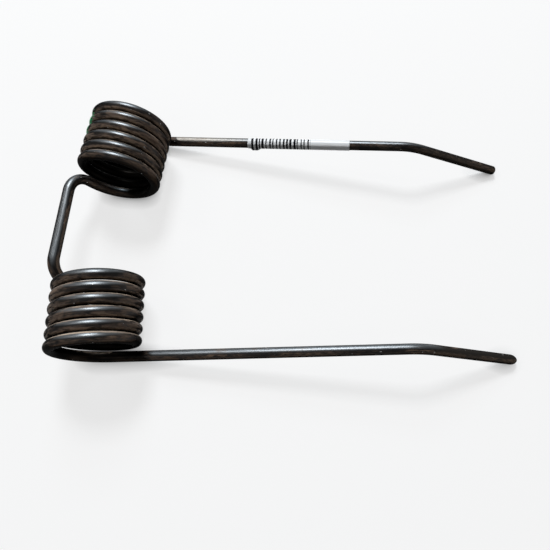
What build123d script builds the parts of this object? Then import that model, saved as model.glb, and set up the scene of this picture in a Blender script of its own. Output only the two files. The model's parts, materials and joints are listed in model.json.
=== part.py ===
from build123d import *

import os
from math import asin, atan2, cos, degrees, hypot, pi, radians, sin, sqrt

# Double pickup tine for a hay pickup reel: one length of round spring wire, wound into two close coils that
# mirror each other, with a loop between them that is bolted to the reel and a long bent finger on each.
# A paper label is wrapped round one finger.
# Millimetres. +X runs along the fingers, +Y along the loop bar, +Z up. The spring lies as it comes to rest:
# on the undersides of its coils and on its two bent-down tips. The origin is under its middle, on the floor.

# Wire
WIRE_DIAMETER = 5.5

# Coils
COIL_INSIDE_DIAMETER = 32.0
COIL_GAP = 0.4
COIL_TURNS = 6
COIL_LEAN = 5.0

# Loop that joins the coils: a bar, and a leg at each end that runs down to its coil
BAR_STRAIGHT = 36.6
LOOP_BEND_RADIUS = 10.75
LEG_STRAIGHT = 3.0
LEG_ANGLE = 69.0

# Fingers
FINGER_STRAIGHT = 151.0
TIP_BEND_RADIUS = 28.0
TIP_BEND_ANGLE = 29.5
TIP_SPLAY = 6.0
TIP_LENGTH = 56.0

# Ends of the wire: one is cut square and rounded, the other is drawn to a blunt nose
CUT_ROUNDING = 1.2
NOSE_LENGTH = 4.5
NOSE_FLAT_DIAMETER = 1.8

# Paper label, wrapped once round a finger. Its free edge laps over its first edge, and stands off at one spot.
# Angles go round the finger, from straight outwards, over the top.
LABEL_LENGTH = 60.0
LABEL_TO_BEND = 29.0
LABEL_THICKNESS = 0.15
LABEL_EDGE_ANGLE = 215.0
LABEL_HELD_ANGLE = 20.0
LIFT_START = 1.6
LIFT_LENGTH = 5.5
LIFT_HEIGHT = 1.2

# Values that follow from the sizes above
WIRE_RADIUS = WIRE_DIAMETER / 2
COIL_RADIUS = (COIL_INSIDE_DIAMETER + WIRE_DIAMETER) / 2
COIL_PITCH = WIRE_DIAMETER + COIL_GAP
LEAD = COIL_PITCH / (2 * pi * COIL_RADIUS)
LEG_TURN = LEG_ANGLE / 360
END_LENGTH = NOSE_LENGTH + CUT_ROUNDING
OUTWARD = Vector(0, 1, 0)
UPWARD = Vector(0, 0, 1)


def lean(direction):
    """Turns a direction of the coil's own frame into the spring's frame."""
    return direction.rotate(Axis.Z, -COIL_LEAN)


def bend(start, along, towards, radius, angle):
    """Arc that leaves start in the direction along and turns by angle towards another direction."""
    plane = Plane(origin=start, x_dir=along, z_dir=along.cross(towards))
    return plane * JernArc(start=(0, 0), tangent=(1, 0), radius=radius, arc_size=angle)


def loop_path():
    """Middle line of half the loop: from the middle of the bar, round the bend and down the leg."""
    slope = radians(LEG_ANGLE)
    bar = Line((0, 0, 0), OUTWARD * (BAR_STRAIGHT / 2))
    down = lean(Vector(cos(slope), LEAD, -sin(slope))).normalized()
    corner = bend(bar @ 1, OUTWARD, down, LOOP_BEND_RADIUS, OUTWARD.get_angle(down))
    leg = Line(corner @ 1, corner @ 1 + down * LEG_STRAIGHT)
    return [bar, corner, leg]


def coil_plane(start):
    """Plane of the coil's near end: its origin is on the coil's axis, and its x axis points at start."""
    slope = radians(LEG_ANGLE)
    to_axis = lean(Vector(sin(slope), 0, cos(slope)))
    return Plane(origin=start + to_axis * COIL_RADIUS, x_dir=-to_axis, z_dir=lean(OUTWARD))


def coil_path(start):
    """Middle line of the coil, turn by turn, from the leg's end to where the finger leaves on the underside."""
    place = coil_plane(start)
    turn = Helix(COIL_PITCH, COIL_PITCH, COIL_RADIUS, lefthand=True)
    last = Helix(COIL_PITCH, COIL_PITCH * LEG_TURN, COIL_RADIUS, lefthand=True)
    full_turns = [place * Pos(0, 0, COIL_PITCH * number) * turn for number in range(COIL_TURNS)]
    return [*full_turns, place * Pos(0, 0, COIL_PITCH * COIL_TURNS) * last]


def finger_path(coil):
    """Middle line of the finger: its straight run, the bend and the tip, up to where the end is shaped."""
    straight = Line(coil[-1] @ 1, coil[-1] @ 1 + (coil[-1] % 1) * FINGER_STRAIGHT)
    turn = (-UPWARD).rotate(Axis.X, TIP_SPLAY)
    tip_bend = bend(straight @ 1, straight % 1, turn, TIP_BEND_RADIUS, TIP_BEND_ANGLE)
    tip = Line(tip_bend @ 1, tip_bend @ 1 + (tip_bend % 1) * (TIP_LENGTH - END_LENGTH))
    return [straight, tip_bend, tip]


def shaped_end(tip, length, flat_radius):
    """Last stretch of the wire. Over its given length the side curves in to a small flat face."""
    shoulder = END_LENGTH - length
    outline = [
        Line((0, END_LENGTH), (0, 0)),
        Line((0, 0), (WIRE_RADIUS, 0)),
        Line((WIRE_RADIUS, 0), (WIRE_RADIUS, shoulder)),
        TangentArc((WIRE_RADIUS, shoulder), (flat_radius, END_LENGTH), tangent=(0, 1)),
        Line((flat_radius, END_LENGTH), (0, END_LENGTH)),
    ]
    body = revolve(Plane.XZ * make_face(outline), Axis.Z)
    return Plane(origin=tip @ 1, z_dir=tip % 1) * body


def spring_wire(loop, coil, finger):
    """The whole wire: one swept half, its mirror image, and the two ends that differ."""
    section = Plane(origin=(0, 0, 0), z_dir=OUTWARD) * Circle(WIRE_RADIUS)
    half = sweep(section, path=Wire([*loop, *coil, *finger]))
    cut_end = shaped_end(finger[-1], CUT_ROUNDING, WIRE_RADIUS - CUT_ROUNDING)
    nose_end = shaped_end(finger[-1], NOSE_LENGTH, NOSE_FLAT_DIAMETER / 2)
    return half + cut_end + mirror(half + nose_end, about=Plane.XZ)


def ring_sector(inner, first_angle, turn):
    """Face between two arcs one paper thickness apart, in the finger's cross-section."""
    low = CenterArc((0, 0), inner, first_angle, turn)
    high = CenterArc((0, 0), inner + LABEL_THICKNESS, first_angle, turn)
    return make_face([low, Line(low @ 1, high @ 1), high, Line(high @ 0, low @ 0)])


def paper_label(straight):
    """The label: a sleeve on the finger, the lapped layer on it, and the spot where the free edge stands off."""
    sleeve_radius = WIRE_RADIUS + LABEL_THICKNESS
    lifted_width = sqrt((sleeve_radius + LIFT_HEIGHT) ** 2 - sleeve_radius**2)
    lifted_turn = degrees(lifted_width / sleeve_radius)
    root_angle = LABEL_EDGE_ANGLE - lifted_turn
    lap_start = root_angle - LABEL_HELD_ANGLE

    sleeve = extrude(Circle(sleeve_radius) - Circle(WIRE_RADIUS), LABEL_LENGTH)
    lap = ring_sector(sleeve_radius, lap_start, LABEL_HELD_ANGLE + lifted_turn)
    held = ring_sector(sleeve_radius, lap_start, LABEL_HELD_ANGLE)
    standing = Rot(0, 0, root_angle) * Pos(sleeve_radius, 0) * Rectangle(
        LABEL_THICKNESS, lifted_width, align=(Align.MIN, Align.MIN)
    )
    after_lift = LIFT_START + LIFT_LENGTH
    label = (
        sleeve
        + extrude(lap, LIFT_START)
        + Pos(0, 0, LIFT_START) * extrude(held + standing, LIFT_LENGTH)
        + Pos(0, 0, after_lift) * extrude(lap, LABEL_LENGTH - after_lift)
    )
    start = straight @ 0 + (straight % 0) * (FINGER_STRAIGHT - LABEL_TO_BEND - LABEL_LENGTH)
    return Plane(origin=start, x_dir=OUTWARD, z_dir=straight % 0) * label


def rest_tilt(coil, tip):
    """Degrees that the fingers must rise from level for coils and tips to touch the same floor."""
    axis_point = coil_plane(coil[0] @ 0).origin + lean(OUTWARD) * (COIL_PITCH * LEG_TURN)
    tip_point = tip @ 1 + (tip % 1) * (END_LENGTH - CUT_ROUNDING)
    coil_reach = COIL_RADIUS + WIRE_RADIUS
    tip_reach = CUT_ROUNDING + (WIRE_RADIUS - CUT_ROUNDING) * cos(radians(TIP_BEND_ANGLE))
    span = tip_point - axis_point
    fall = degrees(atan2(span.Z, span.X))
    return degrees(asin((tip_reach - coil_reach) / hypot(span.X, span.Z))) - fall


def rest_place(wire, tilt):
    """Move that tilts the spring onto its coils and tips, with the floor under its middle as the origin."""
    box = (Rot(0, -tilt, 0) * wire).bounding_box()
    return Pos(-box.center().X, -box.center().Y, -box.min.Z) * Rot(0, -tilt, 0)


def main():
    loop = loop_path()
    coil = coil_path(loop[-1] @ 1)
    finger = finger_path(coil)
    wire = spring_wire(loop, coil, finger)
    place = rest_place(wire, rest_tilt(coil, finger[-1]))

    nodes = {"tine_wire": wire, "paper_label": paper_label(finger[0])}
    os.makedirs("parts", exist_ok=True)
    for name, solid in nodes.items():
        export_step(place * solid, f"parts/{name}.step")


main()
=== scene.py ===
"""Looks of a double pickup tine: its bent spring wire, the paper label round one finger, and a plain studio.

Everything is in metres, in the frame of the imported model: +X along the fingers, +Y along the loop bar, +Z up,
with the spring resting on the floor at z = 0.
"""

import json
import logging
from dataclasses import dataclass
from enum import Enum
from math import acos, asin, atan2, cos, hypot, pi, radians, sin, sqrt

import bpy
import numpy as np
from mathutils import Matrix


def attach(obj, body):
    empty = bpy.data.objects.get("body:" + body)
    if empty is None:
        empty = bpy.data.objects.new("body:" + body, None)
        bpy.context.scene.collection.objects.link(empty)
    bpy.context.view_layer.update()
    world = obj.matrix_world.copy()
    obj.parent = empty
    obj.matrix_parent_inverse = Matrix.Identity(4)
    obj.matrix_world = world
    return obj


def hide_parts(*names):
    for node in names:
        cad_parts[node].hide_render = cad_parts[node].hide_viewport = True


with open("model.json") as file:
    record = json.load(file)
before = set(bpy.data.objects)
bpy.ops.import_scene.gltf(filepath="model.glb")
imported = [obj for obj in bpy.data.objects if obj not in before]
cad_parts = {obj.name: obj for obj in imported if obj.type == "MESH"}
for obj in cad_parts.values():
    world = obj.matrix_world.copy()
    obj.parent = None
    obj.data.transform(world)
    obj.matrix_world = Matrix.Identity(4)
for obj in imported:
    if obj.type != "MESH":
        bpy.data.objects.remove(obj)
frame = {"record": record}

LOG = logging.getLogger("pickup_tine")
MM = 0.001
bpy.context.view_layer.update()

# Rows of the wire's mesh along each stretch apart from the coil, and along a shaped end
ROWS_ALONG = {"bar": 12, "corner": 28, "leg": 3, "finger": 60, "tip_bend": 16, "tip": 24}
END_ROWS = 14

# Radii of the last rings on the flat face of an end, as shares of the flat's own radius
FLAT_RINGS = (0.9, 0.5)

Array = np.ndarray
Vector3 = tuple[float, float, float]
Colour = tuple[float, float, float, float]
Span = tuple[float, ...]
Socket = bpy.types.NodeSocket
Piece = bpy.types.Object


class Side(Enum):
    """Which half of the spring a piece belongs to. The value is the sign of its Y."""

    FAR = 1
    NEAR = -1


def unit(vector: Array) -> Array:
    """Gives the vector divided by its length."""
    return np.asarray(vector, float) / np.linalg.norm(vector)


def turned(axis: Array, angles: Array) -> Array:
    """Rotation matrices about one axis.

    Formula: the identity, plus the axis's cross matrix times the sine, plus that matrix squared times one
    less the cosine.

    Args:
        axis: Unit vector along the axis.
        angles: Angles in radians, as an array of any length.

    Returns:
        One 3 by 3 matrix for each angle.
    """
    x, y, z = axis
    cross = np.array([[0.0, -z, y], [z, 0.0, -x], [-y, x, 0.0]])
    angles = np.atleast_1d(angles)[:, None, None]
    return np.eye(3) + np.sin(angles) * cross + (1 - np.cos(angles)) * (cross @ cross)


def eased(low: float, high: float, values: Array) -> Array:
    """Smooth step from 0 at low to 1 at high: 3 t squared less 2 t cubed, with t held between 0 and 1."""
    t = np.clip((values - low) / (high - low), 0.0, 1.0)
    return t * t * (3 - 2 * t)


@dataclass(frozen=True)
class Stretch:
    """One stretch of the wire, as a screw motion: a turn about an axis with a slide along it.

    A straight run is a slide with no turn, a bend is a turn with no slide, and a coil has both.
    """

    name: str
    origin: Array
    axis: Array
    angle: float
    slide: float
    steps: int

    def poses(self, turn: Array, point: Array) -> tuple[Array, Array]:
        """Carries the wire's cross-section along the stretch.

        Formula: at the share u of the stretch, the section is turned by u times the angle about the axis, and
        moved by u times the slide along it.

        Args:
            turn: The section's 3 by 3 orientation where the stretch starts.
            point: The middle of the section there.

        Returns:
            The orientations and the middles at each step, the start included.
        """
        share = np.linspace(0.0, 1.0, self.steps + 1)
        turns = turned(self.axis, share * self.angle)
        middles = self.origin + turns @ (point - self.origin) + np.outer(share * self.slide, self.axis)
        return turns @ turn, middles

    def length(self, point: Array) -> float:
        """Length of the middle line: the arc round the axis and the slide are two sides of a right angle."""
        arm = point - self.origin
        arm = arm - (arm @ self.axis) * self.axis
        return hypot(float(np.linalg.norm(arm)) * self.angle, self.slide)


@dataclass
class SweptHalf:
    """Rows of values along half the wire, from the middle of the loop bar to the start of the shaped end.

    The share of the coil is -1 outside it. Each stretch's start is a point and the length along the wire.
    """

    turns: Array
    middles: Array
    along: Array
    coil_share: Array
    starts: dict[str, tuple[Array, float]]


@dataclass
class ShapedHalf:
    """One half of the wire at rest: its rings, its very last point, its rows' lengths and its masks."""

    rings: Array
    pole: Array
    along: Array
    masks: dict[str, Array]


@dataclass
class SpringWire:
    """The wire: a loop bar, and on each side a leg, a close coil, a long finger and a bent tip."""

    wire_radius: float = 2.75 * MM
    coil_radius: float = 18.75 * MM
    coil_pitch: float = 5.9 * MM
    coil_turns: int = 6
    coil_lean: float = radians(5.0)
    bar_length: float = 36.6 * MM
    loop_bend: float = 10.75 * MM
    leg_length: float = 3.0 * MM
    leg_angle: float = radians(69.0)
    finger_length: float = 151.0 * MM
    tip_bend: float = 28.0 * MM
    tip_angle: float = radians(29.5)
    tip_splay: float = radians(6.0)
    tip_length: float = 56.0 * MM
    cut_rounding: float = 1.2 * MM
    nose_length: float = 4.5 * MM
    nose_flat: float = 0.9 * MM

    # Painted sheen, painted shade and dust. Lengths run from where the finger starts.
    # Direction at rest of the side that faces the lamps: painted sheen on it, painted shade away from it
    painted_light_side: Vector3 = (0.05, 0.5, 0.86)
    # Painted sheen raised on the loop bar
    bar_sheen: float = 0.12
    # Painted sheen raised and widened over the bare steel of the far finger's start, and where it fades
    bare_sheen_widening: float = 0.28
    bare_fades: Span = (30.0 * MM, 75.0 * MM)
    # Painted shadow of the coil on the finger's start: its depth, and where it comes in and goes
    coil_shadow_depth: float = 1.2
    coil_shadow_starts: Span = (-34.0 * MM, -18.0 * MM)
    coil_shadow_ends: Span = (14.0 * MM, 22.0 * MM)
    # Tan dust by the grooves, only on the sides that face the lamps, so partly a painted lit edge
    dust_level: float = 0.96
    near_dust: float = 0.28
    near_dust_rises: Span = (0.55, 0.95)

    # Turns after which a turn has a neighbour, and over which the inside's mask fades
    neighbour_from: Span = (0.95, 1.12)
    inside_fade: float = 0.3

    around: int = 40
    steps_per_turn: int = 80
    bar_middle: Vector3 = (0.0, 0.0, 0.0)

    def leaned(self, vector: Vector3) -> Array:
        """Turns a direction of the coil's own frame into the untilted spring's frame."""
        return turned(np.array([0.0, 0.0, 1.0]), -self.coil_lean)[0] @ np.array(vector)

    def end_length(self) -> float:
        """Length of the shaped stretch at the very end of each tip."""
        return self.nose_length + self.cut_rounding

    def stretches(self) -> list[Stretch]:
        """The stretches of half the wire, from the middle of the bar out to the tip.

        Returns:
            The stretches in order, each starting where the one before it ends.
        """
        rows = ROWS_ALONG
        outward = np.array([0.0, 1.0, 0.0])
        lead = self.coil_pitch / (2 * pi * self.coil_radius)
        down = unit(self.leaned((cos(self.leg_angle), lead, -sin(self.leg_angle))))
        point = outward * self.bar_length / 2
        bar = Stretch("bar", np.zeros(3), outward, 0.0, self.bar_length / 2, rows["bar"])

        axis = unit(np.cross(outward, down))
        centre = point + np.cross(axis, outward) * self.loop_bend
        corner = Stretch("corner", centre, axis, acos(float(outward @ down)), 0.0, rows["corner"])
        point = centre + turned(axis, corner.angle)[0] @ (point - centre)
        leg = Stretch("leg", point, down, 0.0, self.leg_length, rows["leg"])
        point = point + down * self.leg_length

        turns = self.coil_turns + self.leg_angle / (2 * pi)
        axis = self.leaned((0.0, 1.0, 0.0))
        to_axis = self.leaned((sin(self.leg_angle), 0.0, cos(self.leg_angle)))
        centre = point + to_axis * self.coil_radius
        coil_rows = round(self.steps_per_turn * turns)
        coil = Stretch("coil", centre, axis, -2 * pi * turns, self.coil_pitch * turns, coil_rows)
        point = centre + turned(axis, coil.angle)[0] @ (point - centre) + axis * coil.slide
        forward = turned(axis, coil.angle)[0] @ down
        finger = Stretch("finger", point, forward, 0.0, self.finger_length, rows["finger"])
        point = point + forward * self.finger_length

        axis = unit(np.cross(forward, np.array([0.0, sin(self.tip_splay), -cos(self.tip_splay)])))
        centre = point + np.cross(axis, forward) * self.tip_bend
        bend = Stretch("tip_bend", centre, axis, self.tip_angle, 0.0, rows["tip_bend"])
        point = centre + turned(axis, bend.angle)[0] @ (point - centre)
        last = turned(axis, bend.angle)[0] @ forward
        tip = Stretch("tip", point, last, 0.0, self.tip_length - self.end_length(), rows["tip"])
        return [bar, corner, leg, coil, finger, bend, tip]

    def stretch(self, name: str) -> Stretch:
        """One of the stretches, by its name."""
        return next(stretch for stretch in self.stretches() if stretch.name == name)

    def swept_half(self) -> SweptHalf:
        """Carries the section through all the stretches of one half.

        Returns:
            The section's orientations and middles, with the length along the wire and the share of the coil.
        """
        turn, point, length = np.eye(3), np.zeros(3), 0.0
        turns, middles, along, share, starts = [], [], [], [], {}
        for number, stretch in enumerate(self.stretches()):
            starts[stretch.name] = (point, length)
            ring_turns, ring_middles = stretch.poses(turn, point)
            reach = stretch.length(point)
            first = 0 if number == 0 else 1
            part = np.linspace(0.0, 1.0, stretch.steps + 1)[first:]
            turns.append(ring_turns[first:])
            middles.append(ring_middles[first:])
            along.append((length + np.linspace(0.0, reach, stretch.steps + 1))[first:])
            share.append(part if stretch.name == "coil" else np.full(len(part), -1.0))
            turn, point, length = ring_turns[-1], ring_middles[-1], length + reach
        return SweptHalf(np.vstack(turns), np.vstack(middles), np.hstack(along), np.hstack(share), starts)

    def length_to(self, name: str) -> float:
        """Length along the wire from the middle of the loop bar to the start of a stretch."""
        return self.swept_half().starts[name][1]

    def circle(self) -> Array:
        """Outward directions round the section at the middle of the bar, where it lies across Y."""
        angle = np.linspace(0.0, 2 * pi, self.around, endpoint=False)
        return np.stack([np.cos(angle), np.zeros_like(angle), np.sin(angle)], 1)

    def rest_tilt(self, half: SweptHalf) -> float:
        """Angle that the fingers rise from level when coils and tips touch the same floor.

        Formula: the line from the coil's axis to the middle of the tip's rounding falls by the difference of
        their reaches down to the floor.

        Args:
            half: The swept half, still untilted.

        Returns:
            The angle in radians.
        """
        forward = half.turns[-1] @ np.array([0.0, 1.0, 0.0])
        ball = half.middles[-1] + forward * (self.end_length() - self.cut_rounding)
        coil = self.stretch("coil")
        axis_point = coil.origin + coil.axis * self.coil_pitch * self.leg_angle / (2 * pi)
        span = ball - axis_point
        tip_reach = self.cut_rounding + (self.wire_radius - self.cut_rounding) * cos(self.tip_angle)
        fall = (tip_reach - self.coil_radius - self.wire_radius) / hypot(span[0], span[2])
        return asin(fall) - atan2(span[2], span[0])

    def at_rest(self, points: Array, tilt: float, side: Side) -> Array:
        """Mirrors points to their side, tilts them about Y and sets them by the middle of the loop bar.

        Args:
            points: Points of the far half, untilted, in an array whose last axis is X, Y, Z.
            tilt: The rest tilt in radians.
            side: The half that the points belong to.

        Returns:
            The points in the model's frame.
        """
        matrix = np.array([[cos(tilt), 0.0, -sin(tilt)], [0.0, 1.0, 0.0], [sin(tilt), 0.0, cos(tilt)]])
        return (points * [1.0, side.value, 1.0]) @ matrix.T + np.array(self.bar_middle)

    def end_rings(self, rounding: float, flat: float) -> tuple[Array, Array]:
        """Offsets along the tip and radii for its shaped end.

        Formula: over the rounding's length the radius follows an arc that leaves the side in line with it and
        ends at the flat, and then the flat closes towards its middle.

        Args:
            rounding: Length over which the side curves in.
            flat: Radius of the flat face.

        Returns:
            Offsets from the last ring of the half, and the radius of the ring at each.
        """
        drop = self.wire_radius - flat
        arc_radius = (drop**2 + rounding**2) / (2 * drop)
        sweep = np.linspace(0.0, asin(min(1.0, rounding / arc_radius)), END_ROWS)[1:]
        shoulder = self.end_length() - rounding
        face = np.full(len(FLAT_RINGS), self.end_length())
        offsets = np.hstack([[shoulder], shoulder + arc_radius * np.sin(sweep), face])
        curve = self.wire_radius - arc_radius * (1 - np.cos(sweep))
        return offsets, np.hstack([[self.wire_radius], curve, [flat * share for share in FLAT_RINGS]])

    def groove_depth(self, half: SweptHalf, directions: Array) -> Array:
        """How far each point of the surface lies in the groove between two turns, from 0 to 1.

        Formula: the size of the part of the section's outward direction that points along the coil's axis,
        kept only where another turn lies on that side.

        Args:
            half: The swept half.
            directions: Outward directions of the surface, one row of rings.

        Returns:
            One value for each point of each ring.
        """
        coil = self.stretch("coil")
        lean = directions @ coil.axis
        turns = abs(coil.angle) / (2 * pi)
        done = half.coil_share * turns
        inside = half.coil_share >= 0.0
        low, high = self.neighbour_from
        next_turn = inside * (1 - eased(turns - high, turns - low, done))
        turn_before = inside * eased(low, high, done)
        return np.where(lean > 0, lean * next_turn[:, None], -lean * turn_before[:, None])

    def masks(self, half: SweptHalf, directions: Array, tilt: float, side: Side) -> dict[str, Array]:
        """How the finish differs over the surface of one half.

        Formula of the painted light level: the part of the outward direction that points to the lamps' side,
        raised for painted sheen on the loop and on the far finger's start, and lowered in the coil's painted
        shadow.

        Args:
            half: The swept half.
            directions: Outward directions of the surface, one row of rings.
            tilt: The rest tilt in radians.
            side: The half that the surface belongs to.

        Returns:
            By name, one value for each point of each ring: depth in the groove, dust, facing inwards, wear,
            and bare steel.
        """
        in_coil = half.along[half.coil_share >= 0.0]
        in_finger = half.along - in_coil[-1]
        # Painted shadow of the coil, from its last turn over the finger's first part
        coil_shadow = eased(*self.coil_shadow_starts, in_finger) * (1 - eased(*self.coil_shadow_ends, in_finger))

        groove = self.groove_depth(half, directions)
        more_dust = self.near_dust if side is Side.NEAR else 0.0
        settled = self.dust_level + more_dust * eased(*self.near_dust_rises, half.coil_share)
        # Dust only on the groove side that faces the lamps, partly a painted lit edge, none in the painted
        # shadow
        lamp_side_of_groove = directions @ self.stretch("coil").axis * side.value > 0
        dust_and_lit_edge = np.where(lamp_side_of_groove, groove * settled[:, None], 0.0) * (1 - coil_shadow)[:, None]

        outward = self.at_rest(directions, tilt, side) - self.at_rest(np.zeros(3), tilt, side)
        # Bare steel on the far finger's start, where the painted sheen widens
        bare = (side is Side.FAR) * (in_finger > 0.0) * (1 - eased(*self.bare_fades, in_finger))
        # Painted light level raised for painted sheen on the loop and bare stretch, lowered for painted shadow
        more_painted_light = self.bar_sheen * (half.along < in_coil[0])
        more_painted_light = more_painted_light + self.bare_sheen_widening * bare - self.coil_shadow_depth * coil_shadow
        return {
            "groove": groove,
            "dust_and_lit_edge": dust_and_lit_edge,
            "inner": self.facing_axis(half, directions),
            # Painted light level: high for the painted sheen, low for the painted shade
            "painted_light": outward @ unit(np.array(self.painted_light_side)) + more_painted_light[:, None],
            "bare": np.repeat(bare[:, None], self.around, 1),
        }

    def shaped_half(self, half: SweptHalf, tilt: float, side: Side) -> ShapedHalf:
        """One half of the wire at rest, with the end of its own side.

        Args:
            half: The swept half.
            tilt: The rest tilt in radians.
            side: The half to make. The far one is cut square and rounded, and the near one has the nose.

        Returns:
            The half. The masks are 0 on its end, apart from the painted light level, which goes on.
        """
        if side is Side.FAR:
            offsets, radii = self.end_rings(self.cut_rounding, self.wire_radius - self.cut_rounding)
        else:
            offsets, radii = self.end_rings(self.nose_length, self.nose_flat)
        forward = half.turns[-1] @ np.array([0.0, 1.0, 0.0])
        directions = np.einsum("nij,aj->nai", half.turns, self.circle())
        body = half.middles[:, None] + self.wire_radius * directions
        middles = half.middles[-1] + np.outer(offsets, forward)
        end = middles[:, None] + radii[:, None, None] * directions[-1][None]

        masks = self.masks(half, directions, tilt, side)
        end_rows = {name: np.zeros((len(offsets), self.around)) for name in masks}
        end_rows["painted_light"] = np.repeat(masks["painted_light"][-1:], len(offsets), 0)
        return ShapedHalf(
            rings=self.at_rest(np.concatenate([body, end]), tilt, side),
            pole=self.at_rest(half.middles[-1] + forward * self.end_length(), tilt, side),
            along=np.hstack([half.along, half.along[-1] + offsets]) * side.value,
            masks={name: np.vstack([mask, end_rows[name]]) for name, mask in masks.items()},
        )

    def build(self) -> Piece:
        """Sweeps the round section along the whole wire, near tip to far tip, and closes both ends.

        Returns:
            The wire as one closed mesh object, with its masks and its straightened coordinates.
        """
        half = self.swept_half()
        tilt = self.rest_tilt(half)
        near = self.shaped_half(half, tilt, Side.NEAR)
        far = self.shaped_half(half, tilt, Side.FAR)
        rings = np.concatenate([near.rings[:0:-1], far.rings])
        along = np.hstack([near.along[:0:-1], far.along])
        wire = closed_tube("spring_wire", rings, near.pole, far.pole)

        across = self.wire_radius * self.circle()
        straight = np.stack(np.broadcast_arrays(along[:, None], across[:, 0], across[:, 2]), -1)
        poles = np.array([[along[0], 0.0, 0.0], [along[-1], 0.0, 0.0]])
        set_vector(wire, "straightened", np.vstack([straight.reshape(-1, 3), poles]))
        for name in far.masks:
            values = np.concatenate([near.masks[name][:0:-1], far.masks[name]])
            set_value(wire, name, np.hstack([values.ravel(), [0.0, 0.0]]))
        return wire

    def facing_axis(self, half: SweptHalf, directions: Array) -> Array:
        """How far each point faces the coil's axis, from 0 on its outside to 1 on its inside.

        Formula: half of one less the outward direction's part along the arm from the axis to the ring's
        middle, faded out at both ends of the coil.

        Args:
            half: The swept half.
            directions: Outward directions of the surface, one row of rings.

        Returns:
            One value for each point of each ring, 0 outside the coil.
        """
        coil = self.stretch("coil")
        arm = half.middles - coil.origin
        arm = arm - (arm @ coil.axis)[:, None] * coil.axis
        arm = arm / np.linalg.norm(arm, axis=1)[:, None]
        outward = np.einsum("nai,ni->na", directions, arm)
        turns = abs(coil.angle) / (2 * pi)
        done = half.coil_share * turns
        fade = eased(0.0, self.inside_fade, done) * (1 - eased(turns - self.inside_fade, turns, done))
        return fade[:, None] * (1 - outward) / 2

    def finger_frame(self, side: Side) -> tuple[Array, Array, Array, Array]:
        """Where a finger starts and how it lies.

        Args:
            side: The finger's half.

        Returns:
            Its first point, its direction, and the outward and upward directions across it, at rest.
        """
        half = self.swept_half()
        tilt = self.rest_tilt(half)
        forward = self.stretch("finger").axis
        start = half.starts["finger"][0]
        outward = unit(np.array([0.0, 1.0, 0.0]) - forward[1] * forward)
        upward = np.cross(forward, outward)
        zero = self.at_rest(np.zeros(3), tilt, side)
        place = [self.at_rest(v, tilt, side) - zero for v in (forward, outward, upward)]
        return self.at_rest(start, tilt, side), place[0], place[1], place[2]


@dataclass
class PaperLabel:
    """The label: one sheet of paper, wrapped once round the far finger, whose free edge laps over its first.

    Lengths run along the finger from the label's start, and angles round it from straight outwards.
    """

    wire: SpringWire
    length: float = 60.0 * MM
    to_bend: float = 29.0 * MM
    thickness: float = 0.15 * MM
    edge_angle: float = radians(215.0)
    held_angle: float = radians(20.0)
    lift_start: float = 1.6 * MM
    lift_length: float = 5.5 * MM
    lift_height: float = 1.15 * MM
    lift_rises: Span = (-0.6 * MM, 1.2 * MM)
    lift_falls: Span = (-1.6 * MM, 0.6 * MM)
    step_angles: Span = (-0.5, -0.05)
    columns: int = 130
    rows: int = 96

    def build(self) -> Piece:
        """Wraps the sheet and gives it its thickness.

        Formula: a point of the sheet lies at its own angle round the finger, at the finger's radius, and one
        thickness higher after a full turn. Near one spot the last part leaves the finger in a straight line.

        Returns:
            The label as one closed mesh object, with a UV map in metres along and round the finger.
        """
        start, forward, outward, upward = self.wire.finger_frame(Side.FAR)
        start = start + forward * (self.wire.finger_length - self.to_bend - self.length)
        inside = self.wire.wire_radius
        sleeve = inside + self.thickness
        lifted = sqrt((sleeve + self.lift_height) ** 2 - sleeve**2)
        root = self.edge_angle - lifted / sleeve
        first = root - self.held_angle

        along = np.linspace(0.0, self.length, self.columns + 1)
        angle = np.linspace(first, self.edge_angle + 2 * pi, self.rows + 1)
        step_up = self.thickness * eased(*self.step_angles, angle - first - 2 * pi)
        past_root = np.clip(angle - root - 2 * pi, 0.0, None) * sleeve
        rise = eased(*self.lift_rises, along - self.lift_start)
        fall = eased(*self.lift_falls, along - self.lift_start - self.lift_length)
        window = rise * (1 - fall)
        layers = []
        for height in (self.thickness, 0.0):
            radius = inside + step_up + height
            wrapped = radius[:, None] * np.stack([np.cos(angle), np.sin(angle)], 1)
            flat = radius[:, None] * np.array([cos(root), sin(root)])
            flat = flat + past_root[:, None] * np.array([-sin(root), cos(root)])
            free = (past_root > 0)[:, None] * (flat - wrapped)
            layers.append(wrapped[None] + window[:, None, None] * free[None])
        section = np.concatenate([layers[0], layers[1][:, ::-1]], 1)
        points = start + along[:, None, None] * forward
        points = points + section[..., :1] * outward + section[..., 1:] * upward
        round_way = np.hstack([angle, angle[::-1]]) - first
        return closed_sheet("paper_wrap", points, along, round_way * sleeve)


def put(name: str, data: bpy.types.ID) -> Piece:
    """Makes an object of a mesh, a lamp or a camera, and links it to the scene."""
    piece = bpy.data.objects.new(name, data)
    bpy.context.scene.collection.objects.link(piece)
    return piece


def mesh_from(name: str, points: Array, faces: Array, corners: Array | None = None) -> Piece:
    """Puts points and faces into a mesh object with smooth shading.

    Args:
        name: Name of the object and its mesh.
        points: Vertices, one row each.
        faces: Rows of four corners, where a triangle repeats its last one.
        corners: Optional UV pair for each corner of each face, in the faces' order.

    Returns:
        The object, linked to the scene.
    """
    mesh = bpy.data.meshes.new(name)
    rows = [tuple(dict.fromkeys(row)) for row in faces.tolist()]
    mesh.from_pydata(points.tolist(), [], rows)
    if corners is not None:
        layer = mesh.uv_layers.new(name="wrap")
        layer.data.foreach_set("uv", corners.astype(np.float32).ravel())
    mesh.polygons.foreach_set("use_smooth", np.ones(len(mesh.polygons), bool))
    mesh.update()
    return put(name, mesh)


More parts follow.
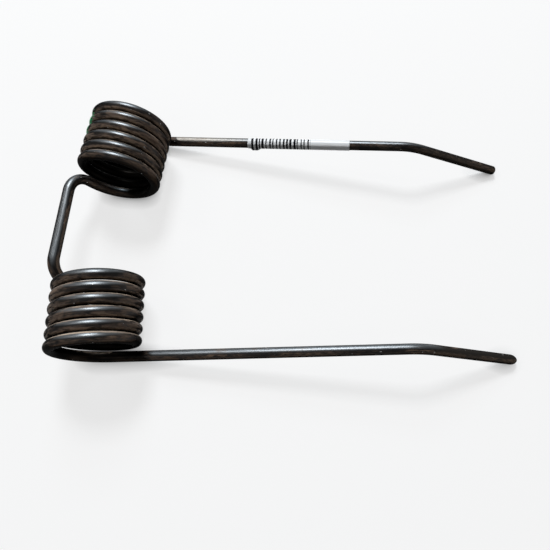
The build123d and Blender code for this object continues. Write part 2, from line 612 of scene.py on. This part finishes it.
def signed_volume(points: Array, quads: Array) -> float:
    """Volume inside a closed surface, by the sum of a sixth of each triangle's triple product."""
    triangles = np.vstack([quads[:, [0, 1, 2]], quads[:, [0, 2, 3]]])
    a, b, c = points[triangles[:, 0]], points[triangles[:, 1]], points[triangles[:, 2]]
    return float(np.einsum("ij,ij->", a, np.cross(b, c)) / 6)


def grid_quads(rows: int, around: int) -> Array:
    """Quads between neighbouring rows of closed loops of points, by the points' numbers."""
    row = np.arange(rows - 1)[:, None] * around
    here = np.arange(around)[None]
    there = (here + 1) % around
    quads = np.stack([row + here, row + there, row + around + there, row + around + here], -1)
    return quads.reshape(-1, 4)


def closed_tube(name: str, rings: Array, first_pole: Array, last_pole: Array) -> Piece:
    """A tube of rings, closed by a fan at each end.

    Args:
        name: Name of the object.
        rings: Array of rings by points round by 3.
        first_pole: Middle of the first end.
        last_pole: Middle of the last end.

    Returns:
        The object. Its vertices are the rings in order, and then the two poles.
    """
    count, around = rings.shape[:2]
    points = np.vstack([rings.reshape(-1, 3), first_pole[None], last_pole[None]])
    here = np.arange(around)
    there = np.roll(here, -1)
    first = np.full(around, count * around)
    last = first + 1
    top = (count - 1) * around
    first_fan = np.stack([there, here, first, first], -1)
    last_fan = np.stack([top + here, top + there, last, last], -1)
    quads = np.vstack([grid_quads(count, around), first_fan, last_fan])
    if signed_volume(points, quads) < 0:
        quads = quads[:, [1, 0, 3, 2]]
    return mesh_from(name, points, quads)


def closed_sheet(name: str, points: Array, along: Array, across: Array) -> Piece:
    """A sheet with thickness: rows of loops that run over its outer face and back over its inner face.

    Args:
        name: Name of the object.
        points: Array of rows by loop by 3. The second half of each loop is the inner face, run backwards.
        along: The rows' places along the sheet.
        across: The loop's places across the sheet.

    Returns:
        The object, with a UV map that holds along and across.
    """
    count, loop = points.shape[:2]
    edge = np.arange(loop // 2 - 1)
    ends = np.stack([edge, loop - 1 - edge, loop - 2 - edge, edge + 1], -1)
    quads = np.vstack([grid_quads(count, loop), ends, ends[:, ::-1] + (count - 1) * loop])
    flat = points.reshape(-1, 3)
    if signed_volume(flat, quads) < 0:
        quads = quads[:, ::-1]
    uv = np.stack(np.broadcast_arrays(along[:, None], across[None]), -1).reshape(-1, 2)
    return mesh_from(name, flat, quads, uv[quads.ravel()])


def set_value(piece: Piece, name: str, values: Array) -> None:
    """Stores one number for each vertex under a name that materials read."""
    store = piece.data.attributes.new(name, "FLOAT", "POINT")
    store.data.foreach_set("value", values.astype(np.float32))


def set_vector(piece: Piece, name: str, values: Array) -> None:
    """Stores one vector for each vertex under a name that materials read."""
    store = piece.data.attributes.new(name, "FLOAT_VECTOR", "POINT")
    store.data.foreach_set("vector", values.astype(np.float32).ravel())


class Nodes:
    """A node tree, with short ways to add the nodes that the finishes and the studio use."""

    def __init__(self, tree: bpy.types.NodeTree) -> None:
        """Takes the tree that the nodes go into."""
        self.tree = tree

    def add(self, kind: str) -> bpy.types.Node:
        """Adds a node of a kind."""
        return self.tree.nodes.new("ShaderNode" + kind)

    def link(self, source: Socket, target: Socket) -> None:
        """Joins an output to an input."""
        self.tree.links.new(source, target)

    def set_socket(self, socket: Socket, value: object) -> None:
        """Joins an output to the socket, or sets the socket to a plain value."""
        if isinstance(value, Socket):
            self.link(value, socket)
        else:
            socket.default_value = value

    def feed(self, node: bpy.types.Node, **values: object) -> None:
        """Sets or joins a node's inputs by name, with underscores for blanks."""
        for name, value in values.items():
            self.set_socket(node.inputs[name.replace("_", " ")], value)

    def between(self, value: Socket, low: float, high: float, first: float = 0, last: float = 1) -> Socket:
        """Smooth step of a value between two limits, from the first result to the last."""
        node = self.add("MapRange")
        node.interpolation_type = "SMOOTHSTEP"
        for socket, part in zip(node.inputs[:5], (value, low, high, first, last)):
            self.set_socket(socket, part)
        return node.outputs["Result"]

    def maths(self, operation: str, first: object, second: object = 0.0) -> Socket:
        """One arithmetic step on one or two values, whose product, sum or difference is held to 0 to 1."""
        node = self.add("Math")
        node.operation = operation
        node.use_clamp = operation in ("MULTIPLY", "ADD", "SUBTRACT")
        for socket, value in zip(node.inputs, (first, second)):
            self.set_socket(socket, value)
        return node.outputs[0]

    def times(self, first: object, second: object) -> Socket:
        """Product of two values, held between 0 and 1."""
        return self.maths("MULTIPLY", first, second)

    def plus(self, first: object, second: object) -> Socket:
        """Sum of two values, held between 0 and 1."""
        return self.maths("ADD", first, second)

    def raw(self, operation: str, first: object, second: object = 0.0) -> Socket:
        """One arithmetic step whose result may be any number."""
        result = self.maths(operation, first, second)
        result.node.use_clamp = False
        return result

    def mixed(self, share: Socket, first: object, second: object) -> Socket:
        """Mix of two colours by a share."""
        node = self.add("Mix")
        node.data_type = "RGBA"
        self.link(share, node.inputs["Factor"])
        self.set_socket(node.inputs[6], first)
        self.set_socket(node.inputs[7], second)
        return node.outputs[2]

    def length(self, vector: Socket) -> Socket:
        """Length of a vector."""
        node = self.add("VectorMath")
        node.operation = "LENGTH"
        self.link(vector, node.inputs[0])
        return node.outputs["Value"]

    def part(self, vector: Socket, axis: str) -> Socket:
        """One of a vector's three parts, by its letter."""
        node = self.add("SeparateXYZ")
        self.link(vector, node.inputs[0])
        return node.outputs[axis]

    def place(self, kind: str = "Object") -> Socket:
        """Object coordinates, which are metres in the model's frame, or the directions of a world."""
        return self.add("TexCoord").outputs[kind]


class Shader(Nodes):
    """A material's nodes, with a Principled surface on the output."""

    def __init__(self, name: str) -> None:
        """Makes the material, its surface and its output."""
        self.material = bpy.data.materials.new(name)
        self.material.use_nodes = True
        super().__init__(self.material.node_tree)
        self.tree.nodes.clear()
        output = self.add("OutputMaterial")
        self.surface = self.add("BsdfPrincipled")
        self.link(self.surface.outputs["BSDF"], output.inputs["Surface"])

    def attribute(self, name: str, output: str = "Fac") -> Socket:
        """One of the mesh's own attributes."""
        node = self.add("Attribute")
        node.attribute_name = name
        return node.outputs[output]

    def mapped(self, vector: Socket, scale: Vector3, location: Vector3 = (0.0, 0.0, 0.0)) -> Socket:
        """Scales and shifts a vector."""
        node = self.add("Mapping")
        self.feed(node, Vector=vector, Scale=scale, Location=location)
        return node.outputs["Vector"]

    def noise(self, vector: Socket, scale: float, detail: float, roughness: float) -> Socket:
        """Cloudy noise between 0 and 1."""
        node = self.add("TexNoise")
        self.feed(node, Vector=vector, Scale=scale, Detail=detail, Roughness=roughness)
        return node.outputs["Fac"]

    def drawn(self, straight: Socket, along: float, across: float, detail: float, roughness: float) -> Socket:
        """Noise with one scale along the straightened wire and another across it."""
        return self.noise(self.mapped(straight, (along, across, across)), 1.0, detail, roughness)

    def white_noise(self, number: Socket) -> Socket:
        """A value between 0 and 1 of its own for each number."""
        node = self.add("TexWhiteNoise")
        node.noise_dimensions = "1D"
        self.link(number, node.inputs["W"])
        return node.outputs["Value"]

    def bump(self, height: Socket, distance: float, strength: float) -> Socket:
        """Surface normal bent by a height."""
        node = self.add("Bump")
        self.feed(node, Height=height, Distance=distance, Strength=strength)
        return node.outputs["Normal"]


@dataclass(frozen=True)
class OiledSpringSteel:
    """Oiled black spring steel: painted sheen and shade, brown film, and rust and a tan deposit by the grooves.

    A span holds the two limits of a smooth step, and then its two results where they aren't 0 and 1. A grain
    holds a noise's scale, or its scales along and across the wire, and then its detail and its roughness.
    """

    film: Colour = (0.03, 0.03, 0.031, 1.0)
    # Colour of the painted sheen on the side that faces the lamps
    painted_sheen: Colour = (0.178, 0.189, 0.198, 1.0)
    # Warmer colour of the painted sheen on the far finger's bare start
    bare_steel_sheen: Colour = (0.37, 0.345, 0.312, 1.0)
    # Flat colour of the tips past the bends, in place of the sheen
    tip_colour: Colour = (0.055, 0.05, 0.046, 1.0)
    oxide: Colour = (0.17, 0.117, 0.084, 1.0)
    rust: Colour = (0.31, 0.232, 0.176, 1.0)
    # Tan dust, only on groove sides that face the lamps, so partly a painted lit edge
    tan: Colour = (0.55, 0.435, 0.335, 1.0)
    # Colour of the painted shade below, in the grooves and inside the coils
    painted_shade: Colour = (0.004, 0.0035, 0.003, 1.0)
    nick: Colour = (0.55, 0.55, 0.55, 1.0)
    edge_tint: Colour = (0.06, 0.06, 0.06, 1.0)

    line_grain: Span = (110.0, 2300.0, 4.0, 0.6)
    patch_grain: Span = (70.0, 300.0, 4.0, 0.6)
    thread_grain: Span = (290.0, 1100.0, 3.0, 0.6)
    nick_grain: Span = (420.0, 700.0, 2.0, 0.5)
    cloud_grain: Span = (95.0, 4.0, 0.6)
    fine_grain: Span = (900.0, 3.0, 0.6)

    # Painted light levels over which the painted sheen comes in
    painted_light: Span = (0.72, 0.95)
    sheen_lines: Span = (0.3, 0.6, 0.6, 1.0)
    tips_from: float = 0.0
    tips_fade: Span = (-4.0 * MM, 6.0 * MM)
    streaks: Span = (0.38, 0.58, 0.15, 1.0)
    spot_patches: Span = (0.57, 0.72)
    spot_grains: Span = (0.35, 0.6, 0.35, 0.9)
    film_side: Span = (0.55, 0.88, 0.75, 0.0)
    # Painted shade on the side away from the lamps
    underside: Span = (-0.1, 0.42, 0.88, 0.0)
    rusty_groove: Span = (0.4, 0.68)
    # Dust levels over which the tan, partly a painted lit edge, comes in
    tan_dust_and_lit_edge: Span = (0.72, 0.83)
    dust_clouds: Span = (0.32, 0.6, 0.45, 1.0)
    # Painted shade in the grooves and inside the coils
    shaded_groove_side: Span = (0.78, 0.92, 0.0, 0.85)
    shaded_groove: Span = (0.95, 0.99)
    shaded_inside: Span = (0.4, 0.68)
    nicks: Span = (0.745, 0.765)

    paint: Colour = (0.045, 0.38, 0.15, 1.0)
    paint_at: Vector3 = (-0.1172, 0.0555, 0.0275)
    paint_size: Vector3 = (0.0078, 0.0082, 0.0105)
    paint_ragged: Span = (0.2, 0.8, 0.35, 0.75)
    paint_edge: Span = (0.5, 0.56, 1.0, 0.0)
    paint_outside: Span = (0.25, 0.4, 1.0, 0.0)

    roughness: Span = (0.3, 0.75, 0.36, 0.45)
    tip_roughness: float = 0.12
    bare_roughness: float = 0.08
    matt_roughness: Span = (0.0, 1.0, 0.0, 0.2)
    metal: Span = (0.0, 0.9, 0.9, 0.0)
    line_height: float = 0.6
    grain_height: float = 0.4
    bump_depth: float = 0.06 * MM
    bump_strength: float = 0.25

    def painted(self, shader: Shader, grains: Socket, inner: Socket) -> Socket:
        """Mask of the dab of paint: a ragged ellipsoid round its middle, on the outside of the coil only.

        Args:
            shader: The material's nodes.
            grains: Fine noise that roughens the dab's edge.
            inner: How far the surface faces the coil's axis.

        Returns:
            The mask, 1 on the dab.
        """
        shares = tuple(1 / size for size in self.paint_size)
        offsets = tuple(-at / size for at, size in zip(self.paint_at, self.paint_size))
        away = shader.length(shader.mapped(shader.place(), shares, offsets))
        ragged = shader.times(away, shader.between(grains, *self.paint_ragged))
        outside = shader.between(inner, *self.paint_outside)
        return shader.times(shader.between(ragged, *self.paint_edge), outside)

    def material(self) -> bpy.types.Material:
        """Builds the finish, one layer over another.

        Returns:
            The material. It reads the wire's own attributes and Object coordinates.
        """
        shader = Shader("oiled_spring_steel")
        straight = shader.attribute("straightened", "Vector")
        groove, dust_and_lit_edge, inner, painted_light_level, bare = (
            shader.attribute(name) for name in ("groove", "dust_and_lit_edge", "inner", "painted_light", "bare")
        )
        lines = shader.drawn(straight, *self.line_grain)
        patches = shader.drawn(straight, *self.patch_grain)
        threads = shader.drawn(straight, *self.thread_grain)
        clouds = shader.noise(shader.place(), *self.cloud_grain)
        grains = shader.noise(shader.place(), *self.fine_grain)
        streaks = shader.between(threads, *self.streaks)
        streaks = shader.times(shader.between(patches, *self.streaks), streaks)

        # Painted sheen on the side that faces the lamps, and a flat colour on the tips past the bends
        sheen_share = shader.between(lines, *self.sheen_lines)
        sheen_share = shader.times(shader.between(painted_light_level, *self.painted_light), sheen_share)
        colour = shader.mixed(sheen_share, self.film, shader.mixed(bare, self.painted_sheen, self.bare_steel_sheen))
        tip_start, tip_full = (self.tips_from + step for step in self.tips_fade)
        tips = shader.between(shader.raw("ABSOLUTE", shader.part(straight, "X")), tip_start, tip_full)
        colour = shader.mixed(tips, colour, self.tip_colour)

        # Brown film with spots, and painted shade on the side away from the lamps
        spots = shader.between(grains, *self.spot_grains)
        spots = shader.times(shader.between(patches, *self.spot_patches), spots)
        filmed = shader.times(shader.between(painted_light_level, *self.film_side), streaks)
        filmed = shader.plus(filmed, spots)
        colour = shader.mixed(filmed, colour, self.oxide)
        under = shader.between(painted_light_level, *self.underside)
        colour = shader.mixed(under, colour, self.painted_shade)

        # Rust by the grooves, tan dust partly a painted lit edge, and painted shade in grooves and coil insides
        browned = shader.times(shader.between(groove, *self.rusty_groove), streaks)
        colour = shader.mixed(browned, colour, self.rust)
        tan_dust_and_lit_edge = shader.between(clouds, *self.dust_clouds)
        tan_dust_and_lit_edge = shader.times(shader.between(dust_and_lit_edge, *self.tan_dust_and_lit_edge), tan_dust_and_lit_edge)
        colour = shader.mixed(tan_dust_and_lit_edge, colour, self.tan)
        for mask in (
            shader.between(shader.raw("SUBTRACT", groove, dust_and_lit_edge), *self.shaded_groove_side),
            shader.between(groove, *self.shaded_groove),
            shader.between(inner, *self.shaded_inside),
        ):
            colour = shader.mixed(mask, colour, self.painted_shade)

        # Nicks and paint
        nicks = shader.between(shader.drawn(straight, *self.nick_grain), *self.nicks)
        colour = shader.mixed(nicks, colour, self.nick)
        painted = self.painted(shader, grains, inner)
        colour = shader.mixed(painted, colour, self.paint)

        matt = shader.plus(shader.maths("SUBTRACT", filmed, under), browned)
        matt = shader.plus(shader.plus(matt, tan_dust_and_lit_edge), painted)
        rough = shader.between(lines, *self.roughness)
        for more in (
            shader.times(tips, self.tip_roughness),
            shader.times(bare, self.bare_roughness),
            shader.between(matt, *self.matt_roughness),
        ):
            rough = shader.plus(rough, more)
        height = shader.times(lines, self.line_height)
        height = shader.plus(height, shader.times(grains, self.grain_height))
        shader.feed(
            shader.surface,
            Base_Color=colour,
            Roughness=rough,
            Metallic=shader.between(matt, *self.metal),
            Normal=shader.bump(height, self.bump_depth, self.bump_strength),
        )
        shader.feed(shader.surface, IOR=1.5, Specular_IOR_Level=0.2, Specular_Tint=self.edge_tint)
        return shader.material


@dataclass(frozen=True)
class PrintedPaper:
    """Smooth white label paper with generic flat dark bars over part of its length.

    A bar's start and width are shares of its cell.
    """

    paper: Colour = (0.92, 0.93, 0.94, 1.0)
    fibre: Colour = (0.78, 0.79, 0.8, 1.0)
    ink: Colour = (0.006, 0.006, 0.008, 1.0)
    bars_start: float = 1.8 * MM
    bars_end: float = 37.1 * MM
    bar_spacing: float = 2.05 * MM
    latest_start: float = 0.32
    widths: Span = (0.2, 0.8, 0.34, 0.66)
    width_seed: float = 40.5
    fibre_grain: Span = (1500.0, 2.0, 0.5)
    fibres: Span = (0.3, 0.7, 0.0, 0.25)
    shine: Span = (0.0, 1.0, 0.3, 0.04)
    bump_depth: float = 0.03 * MM
    bump_strength: float = 0.15

    def material(self) -> bpy.types.Material:
        """Builds the finish.

        Formula of the bars: the place along the label is cut into cells of one width. Each cell has one dark
        bar, whose start and width in the cell come from the noise of the cell's own number.

        Returns:
            The material. It reads the label's own UV map, in metres along and round the finger.
        """
        shader = Shader("printed_paper")
        uv = shader.add("UVMap")
        uv.uv_map = "wrap"
        along = shader.part(uv.outputs["UV"], "X")
        cells = shader.raw("DIVIDE", along, self.bar_spacing)
        number = shader.raw("FLOOR", cells)
        inside = shader.raw("FRACT", cells)
        first = shader.raw("MULTIPLY", shader.white_noise(number), self.latest_start)
        seed = shader.raw("ADD", number, self.width_seed)
        last = shader.raw("ADD", first, shader.between(shader.white_noise(seed), *self.widths))
        dark = shader.raw("GREATER_THAN", inside, first)
        for limit in (
            shader.raw("LESS_THAN", inside, last),
            shader.raw("GREATER_THAN", along, self.bars_start),
            shader.raw("LESS_THAN", along, self.bars_end),
        ):
            dark = shader.times(dark, limit)
        fibres = shader.noise(shader.place(), *self.fibre_grain)
        paper = shader.mixed(shader.between(fibres, *self.fibres), self.paper, self.fibre)
        shader.feed(
            shader.surface,
            Base_Color=shader.mixed(dark, paper, self.ink),
            Normal=shader.bump(fibres, self.bump_depth, self.bump_strength),
            Specular_IOR_Level=shader.between(dark, *self.shine),
            Roughness=0.3,
            IOR=1.5,
        )
        return shader.material


@dataclass(frozen=True)
class Lamp:
    """A soft rectangular lamp that faces the spring. Its level is what it adds to a white surface facing it.

    The azimuth and the elevation are in degrees, and the size is width and height.
    """

    name: str
    azimuth: float
    elevation: float
    distance: float
    size: tuple[float, float]
    level: float
    colour: Vector3

    def build(self, aim: Array) -> None:
        """Hangs the lamp.

        Formula: a flat lamp's power is its light on a facing surface, times pi and the distance squared.
        That light is pi times its level.

        Args:
            aim: The point that it faces.
        """
        azimuth, elevation = radians(self.azimuth), radians(self.elevation)
        away = np.array([cos(elevation) * cos(azimuth), cos(elevation) * sin(azimuth), sin(elevation)])
        data = bpy.data.lights.new(self.name, "AREA")
        data.shape = "RECTANGLE"
        data.size, data.size_y = self.size
        data.energy = pi**2 * self.level * self.distance**2
        data.color = self.colour
        lamp = put(self.name, data)
        lamp.location = aim + self.distance * away
        lamp.rotation_euler = (acos(away[2]), 0.0, azimuth + pi / 2)


@dataclass
class Studio:
    """Pale floor, pale surroundings, soft lamps and the camera."""

    floor_colour: Colour = (0.92, 0.92, 0.92, 1.0)
    floor_bounce: Colour = (0.16, 0.16, 0.16, 1.0)
    floor_reach: float = 4.0
    floor_drop: float = 0.05 * MM
    floor_glow: float = 0.76
    glow_spreads: Span = (0.35, 2.2)
    contact_reach: float = 7.0 * MM
    contact_samples: int = 12
    fill: float = 0.045
    ceiling: float = 0.15
    wall_height: Span = (0.0, 0.28)
    aim: Vector3 = (-0.03, 0.0, 0.02)
    camera_at: Vector3 = (-0.008504, -0.094043, 0.261408)
    camera_turn: Vector3 = (0.348255, -0.092082, 0.017792)
    lens: float = 31.3859
    sensor_width: float = 36.0
    shift: tuple[float, float] = (-0.082398, -0.048165)
    lamps: tuple[Lamp, ...] = (
        Lamp("key", 101.0, 50.0, distance=1.6, size=(0.45, 0.3), level=0.76, colour=(0.96, 0.98, 1.0)),
        Lamp("side", 152.0, 45.0, distance=1.6, size=(0.3, 0.3), level=0.055, colour=(1.0, 0.98, 0.95)),
        Lamp("panel", 97.0, 37.0, distance=1.5, size=(0.4, 0.3), level=0.2, colour=(0.8, 0.92, 1.0)),
        Lamp("front", -130.0, 50.0, distance=1.6, size=(0.9, 0.6), level=0.06, colour=(1.0, 1.0, 1.0)),
    )

    def seen(self, nodes: Nodes) -> Socket:
        """Share that is 1 for a camera, glossy or transmission ray, and 0 for the rays that carry light."""
        path = nodes.add("LightPath")
        seen = nodes.plus(path.outputs["Is Camera Ray"], path.outputs["Is Glossy Ray"])
        return nodes.plus(seen, path.outputs["Is Transmission Ray"])

    def floor_material(self) -> bpy.types.Material:
        """Floor that glows for the rays that see it, apart from its shadows, and is dull for the others.

        Formula: the glow's share of the surface rises from its own level to 1 away from the spring, and falls
        where something lies within reach above the floor. The rest of the surface is matt and takes shadows.

        Returns:
            The material.
        """
        material = bpy.data.materials.new("pale_floor")
        material.use_nodes = True
        nodes = Nodes(material.node_tree)
        nodes.tree.nodes.clear()
        seen = self.seen(nodes)
        matt = nodes.add("BsdfDiffuse")
        nodes.feed(matt, Color=nodes.mixed(seen, self.floor_bounce, self.floor_colour))
        glow = nodes.add("Emission")
        contact = nodes.add("AmbientOcclusion")
        contact.samples = self.contact_samples
        nodes.feed(contact, Distance=self.contact_reach)
        share = nodes.between(nodes.length(nodes.place()), *self.glow_spreads, self.floor_glow)
        share = nodes.times(share, contact.outputs["AO"])
        mix = nodes.add("MixShader")
        nodes.feed(mix, Fac=nodes.times(seen, share))
        nodes.link(matt.outputs[0], mix.inputs[1])
        nodes.link(glow.outputs[0], mix.inputs[2])
        output = nodes.add("OutputMaterial")
        nodes.link(mix.outputs[0], output.inputs["Surface"])
        return material

    def floor(self) -> None:
        """Lays a wide floor just under the spring."""
        mesh = bpy.data.meshes.new("floor")
        reach, low = self.floor_reach, -self.floor_drop
        corners = [(-reach, -reach, low), (reach, -reach, low), (reach, reach, low), (-reach, reach, low)]
        mesh.from_pydata(corners, [], [(0, 1, 2, 3)])
        mesh.materials.append(self.floor_material())
        put("floor", mesh)

    def surroundings(self) -> None:
        """Pale surroundings: white for the camera, and for glossy rays white low down and dimmer overhead.

        The rays that carry light get a soft fill instead.
        """
        world = bpy.data.worlds.new("pale_room")
        bpy.context.scene.world = world
        world.use_nodes = True
        nodes = Nodes(world.node_tree)
        up = nodes.part(nodes.place("Generated"), "Z")
        level = nodes.add("MapRange")
        nodes.feed(
            level,
            Value=self.seen(nodes),
            To_Min=self.fill,
            To_Max=nodes.between(up, *self.wall_height, 1.0, self.ceiling),
        )
        camera = nodes.add("LightPath").outputs["Is Camera Ray"]
        white = nodes.raw("MAXIMUM", level.outputs["Result"], camera)
        nodes.feed(world.node_tree.nodes["Background"], Color=(1.0, 1.0, 1.0, 1.0), Strength=white)

    def camera(self) -> None:
        """The camera, where the photograph was taken from."""
        data = bpy.data.cameras.new("camera")
        data.sensor_width = self.sensor_width
        data.sensor_fit = "HORIZONTAL"
        data.lens = self.lens
        data.shift_x, data.shift_y = self.shift
        data.clip_start = 0.01
        camera = put("camera", data)
        camera.location = self.camera_at
        camera.rotation_euler = self.camera_turn
        bpy.context.scene.camera = camera

    def build(self) -> None:
        """Sets the stage, and the view settings that the render uses."""
        self.floor()
        self.surroundings()
        for lamp in self.lamps:
            lamp.build(np.array(self.aim))
        self.camera()
        bpy.context.scene.view_settings.view_transform = "Standard"


def mount_point(name: str) -> Vector3:
    """Place of one of the record's mounts, in metres."""
    found = [mount for mount in frame["record"]["mounts"] if mount["name"] == name]
    return tuple(float(value) for value in found[0]["pos_m"])


def dressed(piece: Piece, material: bpy.types.Material, node: str) -> None:
    """Gives a piece its finish, and says which node it stands for and what it rides on."""
    piece.data.materials.append(material)
    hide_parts(node)
    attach(piece, "root")
    LOG.info("%s: %d faces, stands for %s", piece.name, len(piece.data.polygons), node)


def main() -> None:
    """Builds the wire, the label and the studio."""
    logging.basicConfig(level=logging.INFO, format="%(name)s: %(message)s")
    wire = SpringWire(bar_middle=mount_point("loop_bar"))
    steel = OiledSpringSteel(tips_from=wire.length_to("tip"))
    dressed(wire.build(), steel.material(), "tine_wire")
    dressed(PaperLabel(wire).build(), PrintedPaper().material(), "paper_label")
    Studio().build()


if __name__ == "__main__":
    main()
